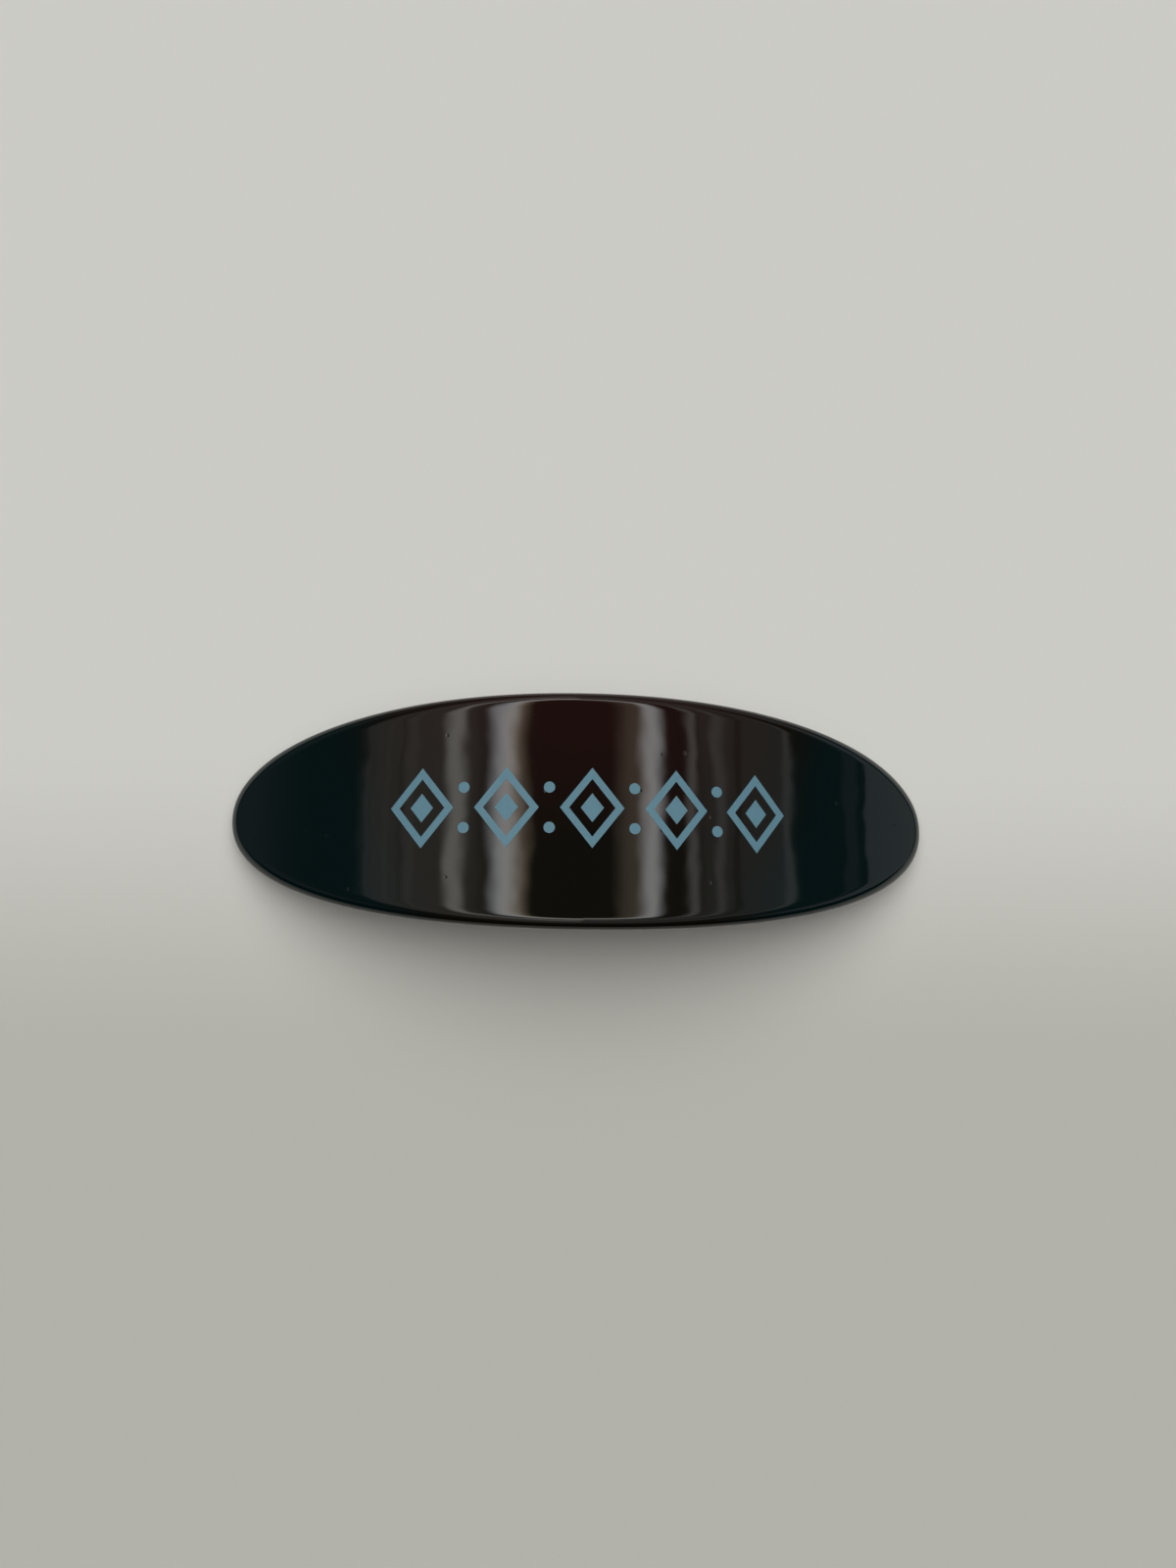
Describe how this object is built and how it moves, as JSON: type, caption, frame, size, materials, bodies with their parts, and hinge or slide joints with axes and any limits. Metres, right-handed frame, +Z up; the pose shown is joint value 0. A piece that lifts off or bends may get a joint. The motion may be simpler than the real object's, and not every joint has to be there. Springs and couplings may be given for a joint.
{
  "type": "barrette",
  "caption": "Arched oval acetate hair barrette with a printed row of lozenges, on a French clasp with a swinging arm, a tension bar and a pinch latch.",
  "frame": {"origin": "below the middle of the cover, on the surface that its two tips rest on", "axes": "+X along the barrette towards the hinge end of the clasp, +Y across it, +Z up, with the printed face on top"},
  "size_m": [0.1, 0.032, 0.0166],
  "materials": {
    "acetate": "tumble-polished cellulose acetate, oxblood in the middle running to dark teal at the tips",
    "print_film": "pale grey-blue printed film",
    "nickel_steel": "nickel-plated pressed steel, fine press marks",
    "spring_steel": "nickel-plated spring strip, satin rolled",
    "pin_steel": "plain drawn steel with peened ends",
    "brass_pin": "turned brass, slightly dulled"
  },
  "bodies": {
    "cover": {"cover_plate": "acetate", "printed_motif": "print_film", "clasp_base": "nickel_steel", "mounting_pin_left": "brass_pin", "mounting_pin_right": "brass_pin", "hinge_pin": "pin_steel", "latch_bridge": "spring_steel", "latch_rivet": "pin_steel"},
    "locking_arm": {"locking_arm": "nickel_steel"},
    "tension_bar": {"tension_bar": "spring_steel"},
    "latch_wing_front": {"latch_wing_front": "spring_steel"},
    "latch_wing_back": {"latch_wing_back": "spring_steel"}
  },
  "joints": [
    {"name": "arm_swing", "type": "hinge", "parent": "cover", "child": "locking_arm", "pos_m": [0.02872, 0, 0.00432], "axis": [0, -1, 0], "range_deg": [0, 110]},
    {"name": "tension_bar_flex", "type": "hinge", "parent": "cover", "child": "tension_bar", "pos_m": [0.02872, 0, 0.00432], "axis": [0, 1, 0], "range_deg": [0, 2.5], "stiffness_Nm_per_rad": 0.05, "springref_deg": -5.73},
    {"name": "wing_front_pinch", "type": "hinge", "parent": "cover", "child": "latch_wing_front", "pos_m": [-0.02789, -0.0019, 0.00834], "axis": [0.952, 0, 0.3061], "range_deg": [-4, 8], "stiffness_Nm_per_rad": 0.05},
    {"name": "wing_back_pinch", "type": "hinge", "parent": "cover", "child": "latch_wing_back", "pos_m": [-0.02789, 0.0019, 0.00834], "axis": [-0.952, 0, -0.3061], "range_deg": [-4, 8], "stiffness_Nm_per_rad": 0.05}
  ]
}
